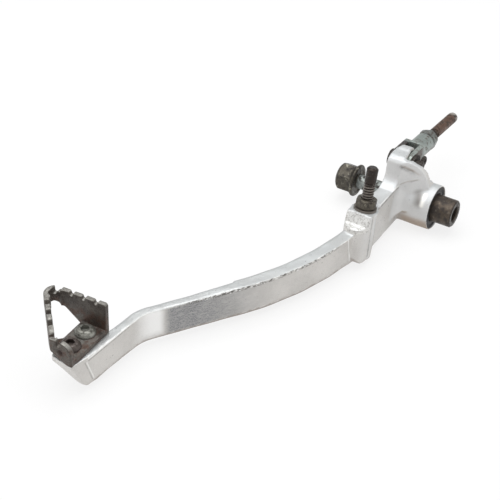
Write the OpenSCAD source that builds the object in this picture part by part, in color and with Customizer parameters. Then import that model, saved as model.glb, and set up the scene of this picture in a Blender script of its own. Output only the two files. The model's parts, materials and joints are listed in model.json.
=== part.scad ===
// Rear brake pedal of an off-road motorcycle, right-hand side.
// X points forward along the machine, Y inboard along the pivot, Z up from the toe pad.
// The origin lies on the pivot axis in the plane of the barrel's inboard end.

/* [Pivot] */
// Outside diameter of the pivot barrel
barrel_d = 24.5; // [23.5:0.5:27]
// Length of the barrel along the pivot
barrel_len = 28; // [27:0.5:31]
// Outside diameter of the pivot collar
collar_d = 15; // [14:0.25:15.5]
// How far the collar stands out of the inboard end
collar_out = 11; // [8:0.5:14]
// Wall of the plain bushes
bush_wall = 1.5; // [1:0.25:1.5]
// Gap between the two plain bushes
bush_gap = 1.2; // [0.8:0.2:6]
// Depth from the barrel's end to the face of the dust seal
seal_inset = 2.2; // [1.2:0.2:3]
// Thickness of the dust seals
seal_t = 3.2; // [2.4:0.2:3.6]
// Wall left outside the dust seals
seal_rim = 1.5; // [1.2:0.1:1.8]

/* [Pivot bolt] */
// Shank diameter of the pivot bolt
bolt_d = 8; // [7:0.5:8.5]
// Length of the pivot bolt below its flange
bolt_len = 50; // [46:1:54]
// How far the bolt is drawn out of its seat
bolt_drawn = 18; // [15:0.5:20]
// Diameter of the flange under the bolt head
flange_d = 18; // [17:0.5:19]
// Thickness of the flange
flange_t = 2.6; // [2:0.1:3]
// Width across flats of the bolt head
head_af = 14.2; // [13:0.2:15]
// Height of the hexagon above the flange
head_h = 8.6; // [7:0.2:9.5]

/* [Arm] */
// Height of the forged arm
arm_h = 18.7; // [17.5:0.2:19.7]
// Height of the arm's top face over the pivot axis
arm_top = 8.5; // [7.5:0.25:9.5]
// Thickness of the arm near the pivot
arm_t = 7.6; // [7:0.2:8.4]
// Thickness of the arm at the toe
tip_t = 5.4; // [5:0.2:6.4]
// Radius of the long outward sweep
sweep_r = 164; // [150:1:180]
// Heading of the arm where it leaves the boss
start_deg = 6; // [3:0.5:9]
// Heading of the arm across the straight run
run_deg = 34.5; // [31:0.5:37]
// Length of the straight run
run_len = 45; // [40:1:50]
// Inside radius of the bend back to the toe
knee_r = 18; // [14:0.5:24]
// Heading of the toe end
toe_deg = 6.3; // [4:0.1:8]
// Length of the toe end after the knee
toe_len = 43.5; // [42:0.5:48]

/* [Toe claw] */
// Heading of the claw on the toe pad
claw_deg = 0; // [-2:0.5:3]
// Thickness of the stamped claw sheet
claw_t = 2.6; // [2:0.1:3]
// Length of the claw's flat base
base_len = 29.5; // [28:0.5:31]
// Width of the claw's flat base
base_w = 13.8; // [13:0.2:15]
// How far the serrated band reaches outboard of the base
band_reach = 17.8; // [16:0.2:20]
// Height of the rear wall above the base
band_h = 15; // [13:0.5:17]
// Height of the front wall above the base
lip_h = 9.4; // [8:0.2:11]
// Distance from one notch to the next
tooth_pitch = 6.8; // [6:0.1:7.6]
// Depth of the notches between teeth
tooth_depth = 2.9; // [2:0.1:3.4]
// Length of the base for each millimetre of claw screw head
head_share = 2.9; // [2.8:0.05:3.2]

/* [Height adjuster] */
// Distance of the adjuster boss ahead of the pivot
boss_ahead = 45.4; // [44:0.2:48]
// Backward lean of the adjuster
lean_deg = 12; // [9:0.5:15]
// Diameter of the adjuster boss
boss_d = 14.8; // [14:0.2:16]
// Height of the nut seat over the arm's centre plane
seat_h = 16; // [15:0.2:17]
// Diameter of the adjuster screw
adjuster_d = 6; // [5:0.5:6]
// How far the adjuster stands out above the nut seat
adjuster_out = 23.4; // [20:0.2:28]

/* [Push rod clevis] */
// Height of the clevis pin over the pivot axis
pin_up = 21.5; // [21:0.25:24]
// Downward slope of the push rod toward the rear
rod_deg = 6.6; // [3:0.2:9]
// Width of the fork across its cheeks
fork_w = 12; // [11:0.5:12.5]
// Thickness of the forged tongue inside the fork
tongue_t = 6; // [5:0.5:6]
// Diameter of the clevis pin
pin_d = 6; // [5:0.5:6]
// Length of the fork behind the pin
fork_len = 29; // [28.6:0.2:33]
// Diameter of the push rod
rod_d = 6; // [5:0.25:6.5]
// Length of push rod behind its lock nut
rod_out = 35.6; // [26:0.2:38]

/* [Hidden] */

// Clearances and common small sizes
run_gap = 0.05;
loose_gap = 0.15;
eps = 0.02;
round_n = 64;
small_n = 36;
edge_n = 12;

// Plan geometry of the arm's inboard face, as headings that turn outboard
arm_start = [boss_ahead + 4, -19.9];
function heading(a) = [cos(a), -sin(a)];
function inboard(a) = [sin(a), cos(a)];
sweep_c = arm_start - sweep_r * inboard(start_deg);
sweep_end = sweep_c + sweep_r * inboard(run_deg);
run_end = sweep_end + run_len * heading(run_deg);
knee_c = run_end + knee_r * inboard(run_deg);
knee_end = knee_c - knee_r * inboard(toe_deg);
toe_end = knee_end + toe_len * heading(toe_deg);

// Forging edge radii and levels
far_r = 1.6;
rear_low = 8.8;
ridge = arm_top + 6.4;
lug_front = 12.2;
let_in = 0.8;
let_step = 0.04;
sill_r = 2.6;
arm_low = arm_h - arm_top;

// Plane of the rear arm, tongue and fork
web_t = 8.4;
web_mid = -21.85;
web_near = web_mid + web_t / 2;
web_far = web_mid - web_t / 2;
pin_at = [-0.8, web_mid, pin_up];
slot_gap = 0.12;
fork_nose = 0.6 * fork_w;
rod_grip = fork_len - 1.15 * fork_w;
nut_gap = 0.2;
cheek_gap = 0.35;
cheek_deep = (fork_w - tongue_t) / 2 + 0.3;
washer_d = 11;
cotter_at = 3.2;
cotter_d = 1.8;
pin_tail = 5.2;
pin_in = fork_w / 2 + pin_tail;

// Height adjuster axis and its stack
boss_at = [boss_ahead, web_mid - 0.8, 0];
washer_t = 1.2;
m6_nut_h = 5;
m6_nut_af = 10;

// Seats in the barrel
seal_d = barrel_d - 2 * seal_rim;
bush_d = collar_d + 2 * bush_wall;
seal_depth = seal_inset + seal_t;
bush_len = (barrel_len - 2 * seal_depth - bush_gap) / 2;

// Toe pad and claw, measured in the toe frame whose origin is the pad's front inboard corner
pad_in = 0.5;
pad_w = base_w + pad_in;
pad_low = 8;
screw_in = base_w / 2 + 0.6;
screw_head_d = base_len / head_share;
screw_shank_d = 6;
front_screw_x = -0.94 * screw_head_d;
rear_screw_x = front_screw_x - 1.12 * screw_head_d;

// Turns child geometry from an upright axis to the pivot direction, pointing inboard
module along_pivot(y) {
    translate([0, y, 0]) rotate([-90, 0, 0]) children();
}

// Moves child geometry into the toe frame
module in_toe() {
    translate([toe_end[0], toe_end[1], arm_top]) rotate([0, 0, -toe_deg]) children();
}

// Moves child geometry into the claw frame, whose origin is the base's front inboard corner
module in_claw() {
    in_toe() translate([0.8, -pad_in, 0]) rotate([0, 0, toe_deg - claw_deg]) children();
}

// Stands child geometry on the leaning adjuster axis
module on_adjuster() {
    translate(boss_at) rotate([0, -lean_deg, 0]) children();
}

// Lays child geometry along the push rod, with its z axis pointing to the rear
module on_rod() {
    translate(pin_at) rotate([0, -90 - rod_deg, 0]) children();
}

// Cylinder with a chamfer at both ends
module chamfered(d, h, c) {
    rotate_extrude($fn = round_n)
        polygon([[0, 0], [d / 2 - c, 0], [d / 2, c], [d / 2, h - c], [d / 2 - c, h], [0, h]]);
}

// Ring grooves that stand for a screw thread of the given outside diameter
module thread(d, h, pitch) {
    turns = floor(h / pitch);
    depth = 0.54 * pitch;
    core = d / 2 - depth;
    rotate_extrude($fn = small_n)
        polygon(concat(
            [[0, 0], [core, 0]],
            [for (i = [0 : turns - 1]) each [
                [core, i * pitch + 0.06 * pitch],
                [d / 2, i * pitch + 0.42 * pitch],
                [d / 2, i * pitch + 0.58 * pitch],
                [core, i * pitch + 0.94 * pitch]]],
            [[core, h], [0, h]]));
}

// Hexagon nut with chamfered corners and a clear bore
module hex_nut(af, h, bore) {
    corner = af / sqrt(3);
    rim = 0.5 * (corner - af / 2) + 0.35;
    difference() {
        intersection() {
            cylinder(r = corner, h = h, $fn = 6);
            rotate_extrude($fn = round_n)
                polygon([[0, 0], [af / 2, 0], [corner, rim], [corner, h - rim], [af / 2 - 0.2, h], [0, h]]);
        }
        translate([0, 0, -eps]) cylinder(d = bore, h = h + 2 * eps, $fn = small_n);
    }
}

// Section of the arm: inboard face on the y axis, rounded lower sill, shrunk all round by inset
module arm_section(w, inset = 0) {
    low = inset - arm_low;
    tall = arm_h - 2 * inset;
    near = -inset;
    far = inset - w;
    translate([far + far_r, low]) square([near - far - far_r - sill_r, tall]);
    translate([far, low + far_r]) square([near - far - sill_r, tall - 2 * far_r]);
    translate([far + far_r, low + sill_r]) square([near - far - far_r, tall - sill_r]);
    translate([far + far_r, low + tall - far_r]) circle(far_r, $fn = edge_n);
    translate([far + far_r, low + far_r]) circle(far_r, $fn = edge_n);
    translate([near - sill_r, low + sill_r]) circle(sill_r, $fn = edge_n);
}

// Straight length of arm from a plan point on a heading, its ends let into the bends
module arm_straight(p, a, len) {
    translate([p[0], p[1], 0]) rotate([90, 0, 90 - a]) translate([0, 0, -let_in])
        linear_extrude(len + 2 * let_in) arm_section(tip_t, let_step);
}

// Outboard side of the straight run, which tapers from the sweep's thickness to the toe's
module run_side(side_in, edge_in) {
    translate([sweep_end[0], sweep_end[1], edge_in - arm_low]) rotate([0, 0, -run_deg])
        linear_extrude(arm_h - 2 * edge_in)
            polygon([[-let_in, -tip_t / 2], [run_len, -tip_t / 2], [run_len, side_in - tip_t], [-let_in, side_in - arm_t]]);
}

// Front arm: sweep outboard, tapering straight run, knee and toe end
module front_arm() {
    translate([sweep_c[0], sweep_c[1], 0]) rotate([0, 0, 90 - run_deg])
        rotate_extrude(angle = run_deg - start_deg, $fn = 360)
            translate([sweep_r, 0]) arm_section(arm_t);
    arm_straight(sweep_end, run_deg, run_len);
    run_side(0.1, far_r - 0.2);
    run_side(far_r - 0.2, 0.1);
    translate([knee_c[0], knee_c[1], 0]) rotate([0, 0, -90 - run_deg])
        rotate_extrude(angle = run_deg - toe_deg, $fn = 180)
            translate([knee_r, 0]) mirror([1, 0]) arm_section(tip_t);
    arm_straight(knee_end, toe_deg, toe_len - base_len / 2);
}

// Toe pad: flat top for the claw, underside rising outboard, cut-back nose
module toe_pad() {
    back = base_len - 3;
    nose = 9.5;
    depth = arm_h;
    rake = 0.5;
    bevel = [-1.6, 0, -6.65];
    in_toe() difference() {
        intersection() {
            translate([0, 0, -depth - 1]) linear_extrude(depth + 1)
                polygon([[-back - 6, 0], [0, 0], [0.6, -3], [0.2, -pad_w + 1.5], [-1.2, -pad_w],
                         [-back, -pad_w], [-back - 1, -tip_t + 0.2], [-back - 6, -tip_t + 1]]);
            rotate([90, 0, -90]) translate([0, 0, -1]) linear_extrude(back + 12)
                polygon([[0, 0], [pad_w, 0], [pad_w, -3.2], [pad_w - 2, -5], [tip_t - 0.6, 3 - depth],
                         [tip_t - 2, -depth + 0.5], [sill_r, -depth], [1, -depth + 0.8], [0, -depth + sill_r]]);
            // Nose raked back toward its lower edge
            rotate([90, 0, 0]) translate([0, 0, -1]) linear_extrude(pad_w + 2)
                polygon([[1, 0], [1 - rake * (depth - 3), 3 - depth], [-rake * depth - 1.6, -depth],
                         [-back - 12, -depth], [-back - 12, 0]]);
        }
        // Machined bevel along the inboard side of the nose
        translate([-nose, 0, 0]) rotate(bevel) translate([-2 * depth, 0, -2 * depth]) cube(4 * depth);
    }
}

// Rear arm between boss and barrel, with its ridge and the lug for the clevis
module rear_arm() {
    difference() {
        translate([0, web_near, 0]) rotate([90, 0, 0]) linear_extrude(web_t) difference() {
            union() {
                polygon([[0, -rear_low], [boss_ahead, -rear_low], [boss_ahead, ridge], [12, ridge - 0.6],
                         [0, barrel_d / 2 - 0.2]]);
                lug_outline();
            }
            // Room for the fork behind the lug
            translate([pin_at[0] - 4 * fork_nose, 0]) square([4 * fork_nose, pin_up + 4 * fork_nose]);
        }
        // Bevel along the outboard top edge
        translate([-1, web_far, ridge - 6]) rotate([47, 0, 0])
            translate([16, -8, 0]) cube([boss_ahead, 8, 16]);
    }
    // Tongue inside the fork
    translate([0, web_mid + tongue_t / 2, 0]) rotate([90, 0, 0]) linear_extrude(tongue_t) {
        lug_outline();
        translate([pin_at[0], pin_up]) circle(8.2, $fn = round_n);
    }
}

// Side outline of the lug, in the plane of the fork, swept into the rear arm by an arc
module lug_outline() {
    px = pin_at[0];
    front = lug_front;
    foot_r = 7;
    foot = [for (a = [0 : 15 : 75]) [front + foot_r * (1 - cos(a)), ridge + foot_r * (1 - sin(a))]];
    polygon(concat(
        [[-8, 0], [px - 8, pin_up - 2], [px, pin_up], [px - 3, pin_up + 7.5], [px + 2, pin_up + 7.9],
         [front - 4.5, pin_up + 8.2], [front - 2, pin_up + 7.4], [front - 0.6, pin_up + 5.6]],
        foot, [[front + foot_r, ridge - 0.6], [front + foot_r, 0]]));
}

// Gusset that ties the lug to the barrel's crown: flush with the lug's front, then turning back
module gusset() {
    crown = barrel_d / 2;
    difference() {
        gusset_blank(crown);
        // Back of the web, open toward the fork, the washer and the cotter pin
        translate([0, 0, crown + 2.4]) linear_extrude(pin_up)
            polygon([[-barrel_d, web_near - 2], [7.2, web_near - 2], [7.2, -15.2], [5.6, -14.6], [5.4, -11.6],
                     [3.4, -9.6], [1.4, -7], [-0.4, -4.8], [-1.6, -2], [-barrel_d, -2]]);
    }
}

// Gusset before its back is opened: side outline, plan outline and front outline together
module gusset_blank(crown) {
    intersection() {
        translate([-barrel_d, 0, 0]) rotate([90, 0, 90]) linear_extrude(2 * barrel_d)
            polygon([[web_near - 1, 0], [web_near - 1, pin_up + 8], [web_near + 1.4, pin_up + 7.4],
                     [-12.8, pin_up + 6.4], [-10.8, pin_up + 5.1], [-8.7, pin_up + 3.2], [-7, pin_up + 0.2],
                     [-5.7, pin_up - 2.8], [-4.8, crown + 2.8], [-4, crown - 0.4], [-4, 0]]);
        linear_extrude(pin_up + fork_w)
            polygon([[-crown, web_near - 1], [lug_front - 0.6, web_near - 1], [lug_front - 0.8, web_near + 0.6],
                     [9.6, -14.6], [8.5, -12], [6.9, -9.4], [5.2, -7], [3.6, -4.6], [3, -3], [-crown, -3]]);
        rotate([90, 0, 0]) linear_extrude(barrel_len)
            polygon([[0, 0], [crown - 1, 0], [crown, 7], [lug_front, ridge], [lug_front, pin_up + 5.4],
                     [lug_front - 2.6, pin_up + 7.8], [-2, pin_up + 8], [-2, crown + 2], [-4.4, crown - 0.8], [-4.4, 0]]);
    }
}

// Fillet where the rear arm's inboard face runs into the barrel, its lower edge rising inboard
module hub_fillet() {
    r = 8.5;
    intersection() {
        along_pivot(web_near) rotate_extrude($fn = 96) difference() {
            translate([barrel_d / 2 - 2, -1]) square([r + 2, r + 1]);
            translate([barrel_d / 2 + r, r]) circle(r, $fn = round_n);
        }
        rotate([90, 0, 0]) linear_extrude(barrel_len)
            polygon([[-2, 2], [barrel_d / 2 - 1, 2], [barrel_d - 3, -rear_low], [2 * barrel_d, -rear_low],
                     [2 * barrel_d, ridge - 0.4], [12, ridge - 0.8], [-2, barrel_d / 2 - 0.4]]);
    }
}

// Boss for the height adjuster, with the ramp and ledge at its foot
module boss() {
    foot = boss_d / 2 + 5.6;
    foot_r = boss_d / 2 - 0.5;
    on_adjuster() {
        translate([0, 0, -arm_low]) cylinder(d = boss_d, h = seat_h + arm_low, $fn = round_n);
        intersection() {
            union() {
                translate([foot - foot_r, 0, -arm_low]) cylinder(r = foot_r, h = seat_h + arm_low, $fn = round_n);
                translate([0, -foot_r, -arm_low]) cube([foot - foot_r, 2 * foot_r, seat_h + arm_low]);
            }
            translate([0, boss_d, 0]) rotate([90, 0, 0]) linear_extrude(2 * boss_d)
                polygon([[-1, seat_h], [boss_d / 2 - 0.6, seat_h - 0.3], [foot - 4, arm_top + 1.4],
                         [foot, arm_top + 0.4], [foot, 4 - arm_low], [foot - 5, -arm_low - 1], [-1, -arm_low - 1]]);
        }
    }
}

// One-piece forged lever with all its machined bores
module lever() {
    color("silver") difference() {
        union() {
            front_arm();
            toe_pad();
            rear_arm();
            gusset();
            hub_fillet();
            boss();
            along_pivot(-barrel_len) cylinder(d = barrel_d, h = barrel_len, $fn = 96);
        }
        // Bush bore and the two seal recesses
        along_pivot(-barrel_len - 1) cylinder(d = bush_d, h = barrel_len + 2, $fn = round_n);
        along_pivot(-seal_depth) cylinder(d = seal_d, h = seal_depth + 1, $fn = round_n);
        along_pivot(-barrel_len - 1) cylinder(d = seal_d, h = seal_depth + 1, $fn = round_n);
        // Clevis pin hole
        translate(pin_at) rotate([90, 0, 0])
            cylinder(d = pin_d + 2 * run_gap, h = tongue_t + 2, center = true, $fn = small_n);
        // Spot face under the adjuster nut
        on_adjuster() translate([0, 0, seat_h]) cylinder(d = boss_d + 4, h = seat_h, $fn = round_n);
        // Pockets that clear the fork's cheeks, the washer and the cotter pin as they swing
        for (side = [-1, 1])
            translate([pin_at[0], web_mid + side * (tongue_t + cheek_deep) / 2, pin_up]) rotate([90, 0, 0])
                cylinder(r = fork_nose + cheek_gap, h = cheek_deep, center = true, $fn = round_n);
        translate([pin_at[0], web_mid, pin_up]) rotate([-90, 0, 0])
            cylinder(d = washer_d + 1.2, h = fork_w / 2 + cotter_at + cotter_d / 2 + 0.5, $fn = round_n);
        translate([pin_at[0], web_mid, pin_up]) rotate([-90, 0, 0])
            cylinder(d = pin_d + 1.6, h = pin_in + 0.8, $fn = round_n);
        // Adjuster hole
        on_adjuster() translate([0, 0, -arm_h]) cylinder(d = adjuster_d, h = 2 * arm_h + seat_h, $fn = small_n);
        // Claw screw holes
        for (x = [front_screw_x, rear_screw_x])
            in_claw() translate([x, -screw_in, -pad_low]) cylinder(d = screw_shank_d, h = pad_low + 1, $fn = small_n);
    }
}

// Plain bush in the barrel, given the place of its lower end
module bush(y) {
    color("darkgoldenrod") along_pivot(y) difference() {
        cylinder(d = bush_d, h = bush_len, $fn = round_n);
        translate([0, 0, -1]) cylinder(d = collar_d + 2 * run_gap, h = bush_len + 2, $fn = round_n);
    }
}

module inboard_bush() {
    bush(-seal_depth - bush_len);
}

module outboard_bush() {
    bush(seal_depth - barrel_len);
}

// Dust seal ring with a raised lip round the collar on its outer face
module seal() {
    lip = 0.7;
    bore = collar_d / 2 + run_gap;
    color("black") rotate_extrude($fn = round_n)
        polygon([[bore, 0], [seal_d / 2, 0], [seal_d / 2, seal_t - 0.4], [seal_d / 2 - 0.4, seal_t],
                 [bore + 1.6, seal_t], [bore + 0.9, seal_t + lip], [bore, seal_t + lip]]);
}

module inboard_seal() {
    along_pivot(-seal_depth) seal();
}

module outboard_seal() {
    translate([0, seal_depth - barrel_len, 0]) rotate([90, 0, 0]) seal();
}

// Steel collar that the pedal turns on
module pivot_collar() {
    proud = 0.4;
    bore = bolt_d + 2 * loose_gap;
    color("dimgray") along_pivot(-barrel_len - proud) difference() {
        chamfered(collar_d, barrel_len + proud + collar_out, 0.7);
        translate([0, 0, -1]) cylinder(d = bore, h = barrel_len + collar_out + 3, $fn = round_n);
        translate([0, 0, barrel_len + proud + collar_out - 0.6])
            rotate_extrude($fn = round_n) polygon([[0, 0], [bore / 2, 0], [bore / 2 + 1, 1], [0, 1]]);
    }
}

// Flanged pivot bolt, drawn part of the way out of the collar
module pivot_bolt() {
    proud = 0.4;
    seat = -barrel_len - proud - bolt_drawn;
    corner = head_af / sqrt(3);
    thread_len = 22;
    color("slategray") along_pivot(seat) {
        translate([0, 0, -eps]) cylinder(d = bolt_d, h = bolt_len - thread_len + eps, $fn = round_n);
        translate([0, 0, bolt_len - thread_len]) thread(bolt_d, thread_len - 1.2, 1.25);
        translate([0, 0, bolt_len - 1.2 - eps]) cylinder(r1 = bolt_d / 2 - 0.68, r2 = bolt_d / 2 - 1.4, h = 1.2, $fn = small_n);
        rotate_extrude($fn = round_n)
            polygon([[0, 0], [flange_d / 2 - 2.4, 0], [flange_d / 2 - 2.4, 0.5], [flange_d / 2 - 0.7, 0.5],
                     [flange_d / 2, -0.2], [flange_d / 2, -1], [head_af / 2, -flange_t], [0, -flange_t]]);
        translate([0, 0, -flange_t - head_h]) intersection() {
            rotate([0, 0, 30]) cylinder(r = corner, h = head_h + 1, $fn = 6);
            rotate_extrude($fn = round_n)
                polygon([[0, 0], [head_af / 2 - 1.6, 0], [head_af / 2 - 0.3, 0.8], [corner, 2.4],
                         [corner, head_h + 1], [0, head_h + 1]]);
        }
    }
}

// Layout of the claw in its own frame, x forward and y inboard
apex_r = 5.2;
diag_deg = 42;
corner_y = 2.1 - base_w;
rear_x = -base_len;

// The band's diagonal runs from the base's front outboard corner back to the apex
apex_c = [rear_x + apex_r, -base_w - band_reach + apex_r];
diag_on = apex_c + apex_r * [sin(diag_deg), -cos(diag_deg)];
diag_len = (corner_y - diag_on[1]) / sin(diag_deg);
diag_end = diag_on + diag_len * [cos(diag_deg), sin(diag_deg)];

module toe_claw() {
    tall = claw_t + band_h;
    color("dimgray") in_claw() difference() {
        union() {
            linear_extrude(claw_t) claw_base();
            intersection() {
                linear_extrude(tall) claw_band();
                band_side(tall);
                band_front(tall);
            }
        }
        claw_notches();
        // Lower front corner swept up into the lip
        translate([0, -2, 0]) rotate([0, 131.3, -28.3]) translate([-20, -20, 0]) cube([40, 40, 20]);
        for (x = [front_screw_x, rear_screw_x])
            translate([x, -screw_in, -1]) cylinder(d = screw_shank_d + 0.4, h = claw_t + 2, $fn = small_n);
    }
}

// Flat base with the corner that ties the band's front end
module claw_base() {
    polygon([[rear_x, 0], [0, 0], diag_end, diag_end - 8.6 * [cos(diag_deg), sin(diag_deg)],
             [diag_end[0] - 10, -base_w - 4.4], [diag_end[0] - 11, -base_w - 1.6],
             [diag_end[0] - 12.6, -base_w], [rear_x, -base_w]]);
}

// Plan of the upright band: rear wall, apex, diagonal and front wall
module claw_band() {
    translate([rear_x, apex_c[1]]) square([claw_t, -apex_c[1]]);
    difference() {
        translate(apex_c) circle(apex_r, $fn = round_n);
        translate(apex_c) circle(apex_r - claw_t, $fn = round_n);
        translate(apex_c) rotate([0, 0, diag_deg]) square(3 * apex_r);
        translate(apex_c) square(3 * apex_r);
    }
    translate(diag_on) rotate([0, 0, diag_deg]) square([diag_len, claw_t]);
    polygon([diag_end, [0, 0], [-claw_t, 0], diag_end - [claw_t, 0]]);
}

// Side outline of the band: its top falls from the rear wall to the front wall
module band_side(tall) {
    rotate([90, 0, 0]) linear_extrude(base_w + band_reach + 2)
        polygon([[rear_x - 1, -1], [1, -1], [1, claw_t + lip_h], [-2, claw_t + lip_h],
                 [-8, tall - 3], [rear_x + 6, tall - 1.8], [rear_x + claw_t, tall], [rear_x - 1, tall]]);
}

// Front outline of the band: its lower edge rises to the apex and its ends are trimmed
module band_front(tall) {
    out = base_w + band_reach;
    translate([rear_x - 1, 0, 0]) rotate([90, 0, 90]) linear_extrude(base_len + 2)
        polygon([[0, 0], [-base_w - 0.5, 0], [-base_w - 2, 1.4], [-base_w - 9, 6.6], [3 - out, 8.4],
                 [-out - 1, 8.2], [-out - 1, tall - 1.8], [-1, tall], [0, tall - 1]]);
}

// Notches between the teeth, spaced along the band
module claw_notches() {
    top = claw_t + band_h;
    for (i = [0 : 3])
        translate([rear_x, -5.4 - i * tooth_pitch, top + 0.9 - 0.45 * i]) notch(90);
    translate([apex_c[0] - 2, apex_c[1] - 2, top - 2]) rotate([0, 0, -45]) notch(-45);
    for (i = [0 : 3])
        translate([diag_on[0], diag_on[1], top - 2 - 0.7 * i]) rotate([0, 0, diag_deg])
            translate([tooth_pitch * (i + 0.9), 0, 0]) notch(0);
    translate([0, corner_y / 2 - 1, claw_t + lip_h]) notch(90);
}

module notch(a) {
    rotate([0, 0, a]) rotate([90, 0, 0]) linear_extrude(7.6, center = true)
        polygon([[-0.9, -tooth_depth], [0.6, -tooth_depth], [0.8, 1], [-2.4, 1], [-1.4, -tooth_depth / 2]]);
}

// Button head screw with a hexagon socket
module claw_screw(x) {
    head_h = 2.7;
    r = screw_head_d / 2;
    in_claw() translate([x, -screw_in, claw_t]) difference() {
        union() {
            rotate_extrude($fn = round_n)
                polygon([[0, 0], [r - 0.2, 0], [r, 0.3], [r - 0.15, 0.9], [r - 0.7, 1.7], [r - 1.5, head_h - 0.3],
                         [r - 2.4, head_h], [0, head_h]]);
            translate([0, 0, -claw_t - pad_low + 1]) cylinder(d = screw_shank_d, h = claw_t + pad_low, $fn = small_n);
        }
        translate([0, 0, head_h - 2]) cylinder(d = 4 / cos(30), h = 3, $fn = 6);
    }
}

module front_claw_screw() {
    color("saddlebrown") claw_screw(front_screw_x);
}

module rear_claw_screw() {
    color("lightgray") claw_screw(rear_screw_x);
}

// Adjuster screw: plain end above, thread down through the nut
module adjuster_screw() {
    plain = 9;
    low = 14;
    top = seat_h + adjuster_out;
    color("darkslategray") on_adjuster() {
        translate([0, 0, 2 - arm_low]) cylinder(d = adjuster_d, h = seat_h + arm_low - 2, $fn = small_n);
        translate([0, 0, seat_h - eps]) cylinder(d = adjuster_d, h = washer_t + m6_nut_h, $fn = small_n);
        translate([0, 0, seat_h + washer_t + m6_nut_h - 2 * eps])
            thread(adjuster_d, adjuster_out - washer_t - m6_nut_h - plain + eps, 1);
        translate([0, 0, top - plain - 2 * eps]) chamfered(adjuster_d, plain + 2 * eps, 0.8);
    }
}

module adjuster_nut() {
    color("darkkhaki") on_adjuster() translate([0, 0, seat_h + washer_t])
        rotate([0, 0, 12]) hex_nut(m6_nut_af, m6_nut_h, adjuster_d);
}

module adjuster_washer() {
    color("gray") on_adjuster() translate([0, 0, seat_h]) difference() {
        cylinder(d = 12, h = washer_t, $fn = round_n);
        translate([0, 0, -1]) cylinder(d = adjuster_d + 0.4, h = washer_t + 2, $fn = small_n);
    }
}

// Clevis fork: square body with a slot, round neck toward the lock nut
module clevis_fork() {
    body = 1.2 * fork_w;
    crotch = 1.05 * fork_w;
    slot = tongue_t + 2 * slot_gap;
    half = fork_w / 2;
    neck_r = 0.9 * half;
    color("darkseagreen") on_rod() difference() {
        union() {
            intersection() {
                translate([-half, -half, -fork_nose]) cube([fork_w, fork_w, body + fork_nose]);
                union() {
                    rotate([90, 0, 0]) cylinder(r = fork_nose, h = 2 * fork_w, center = true, $fn = round_n);
                    translate([-half, -half, 0]) cube([fork_w, fork_w, body]);
                }
            }
            rotate_extrude($fn = round_n)
                polygon([[0, body - 1], [half - 0.2, body - 1], [half - 0.2, body + 0.6], [neck_r, body + 1.8],
                         [neck_r, fork_len - 0.6], [neck_r - 0.6, fork_len], [0, fork_len]]);
        }
        translate([-fork_w, -slot / 2, -fork_w]) cube([2 * fork_w, slot, fork_w + crotch]);
        rotate([90, 0, 0]) cylinder(d = pin_d, h = fork_w + 2, center = true, $fn = small_n);
        translate([0, 0, fork_len - rod_grip]) cylinder(d = rod_d, h = 2 * rod_grip, $fn = small_n);
    }
}

// Clevis pin with its head outboard and a cross hole for the cotter
module clevis_pin() {
    half = fork_w / 2;
    head_t = 1.8;
    color("peru") translate([pin_at[0], web_mid - half - head_t, pin_up]) rotate([-90, 0, 0]) difference() {
        union() {
            chamfered(pin_d + 3.4, head_t, 0.4);
            chamfered(pin_d, head_t + fork_w + pin_tail, 0.6);
        }
        translate([0, 0, head_t + fork_w + cotter_at]) rotate([0, 90, 0])
            cylinder(d = cotter_d, h = pin_d + 2, center = true, $fn = 24);
    }
}

module clevis_washer() {
    color("gray") translate([pin_at[0], web_mid + fork_w / 2, pin_up]) rotate([-90, 0, 0]) difference() {
        cylinder(d = washer_d, h = 1.2, $fn = round_n);
        translate([0, 0, -1]) cylinder(d = pin_d + 0.4, h = 4, $fn = small_n);
    }
}

// Cotter pin through the clevis pin, eye to the rear and its two short legs spread in front
module cotter_pin() {
    eye = 2.1;
    reach = pin_d / 2 + 0.4;
    wire = cotter_d / 2;
    leg = 1.9;
    color("sienna") translate([pin_at[0], web_mid + fork_w / 2 + cotter_at, pin_up]) {
        rotate([0, 90, 0]) cylinder(d = cotter_d, h = 2 * reach, center = true, $fn = 24);
        translate([-reach - eye, 0, 0]) rotate([90, 0, 0]) rotate_extrude($fn = small_n)
            translate([eye, 0]) circle(wire, $fn = 16);
        for (side = [-1, 1])
            translate([reach, 0, 0]) rotate([0, 90 + side * 55, 0]) cylinder(d = wire * 1.5, h = leg, $fn = 16);
    }
}

module rod_nut() {
    color("darkseagreen") on_rod() translate([0, 0, fork_len + nut_gap]) rotate([0, 0, 14]) hex_nut(m6_nut_af, m6_nut_h, rod_d);
}

// Push rod: threaded end in the nut and the fork, plain shank and rounded tip
module push_rod() {
    inside = rod_grip - 1 + nut_gap + m6_nut_h;
    threaded = 7;
    plain = rod_out - threaded - rod_d / 2;
    color("saddlebrown") on_rod() translate([0, 0, fork_len + 1 - rod_grip]) {
        cylinder(d = rod_d, h = inside + 0.4, $fn = small_n);
        translate([0, 0, inside + 0.4 - eps]) thread(0.88 * rod_d, threaded, 1);
        translate([0, 0, inside + threaded]) {
            cylinder(d = rod_d, h = plain, $fn = small_n);
            translate([0, 0, plain]) intersection() {
                sphere(d = rod_d, $fn = small_n);
                translate([0, 0, rod_d / 2]) cube(rod_d + 2, center = true);
            }
        }
    }
}

lever();
inboard_bush();
outboard_bush();
inboard_seal();
outboard_seal();
pivot_collar();
pivot_bolt();
toe_claw();
front_claw_screw();
rear_claw_screw();
adjuster_screw();
adjuster_nut();
adjuster_washer();
clevis_fork();
clevis_pin();
clevis_washer();
cotter_pin();
rod_nut();
push_rod();
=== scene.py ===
"""Rear brake pedal of an off-road motorcycle, dressed for the studio photograph."""

import json
import math

import bmesh
import bpy
import numpy as np
from mathutils import Matrix, Vector


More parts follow.
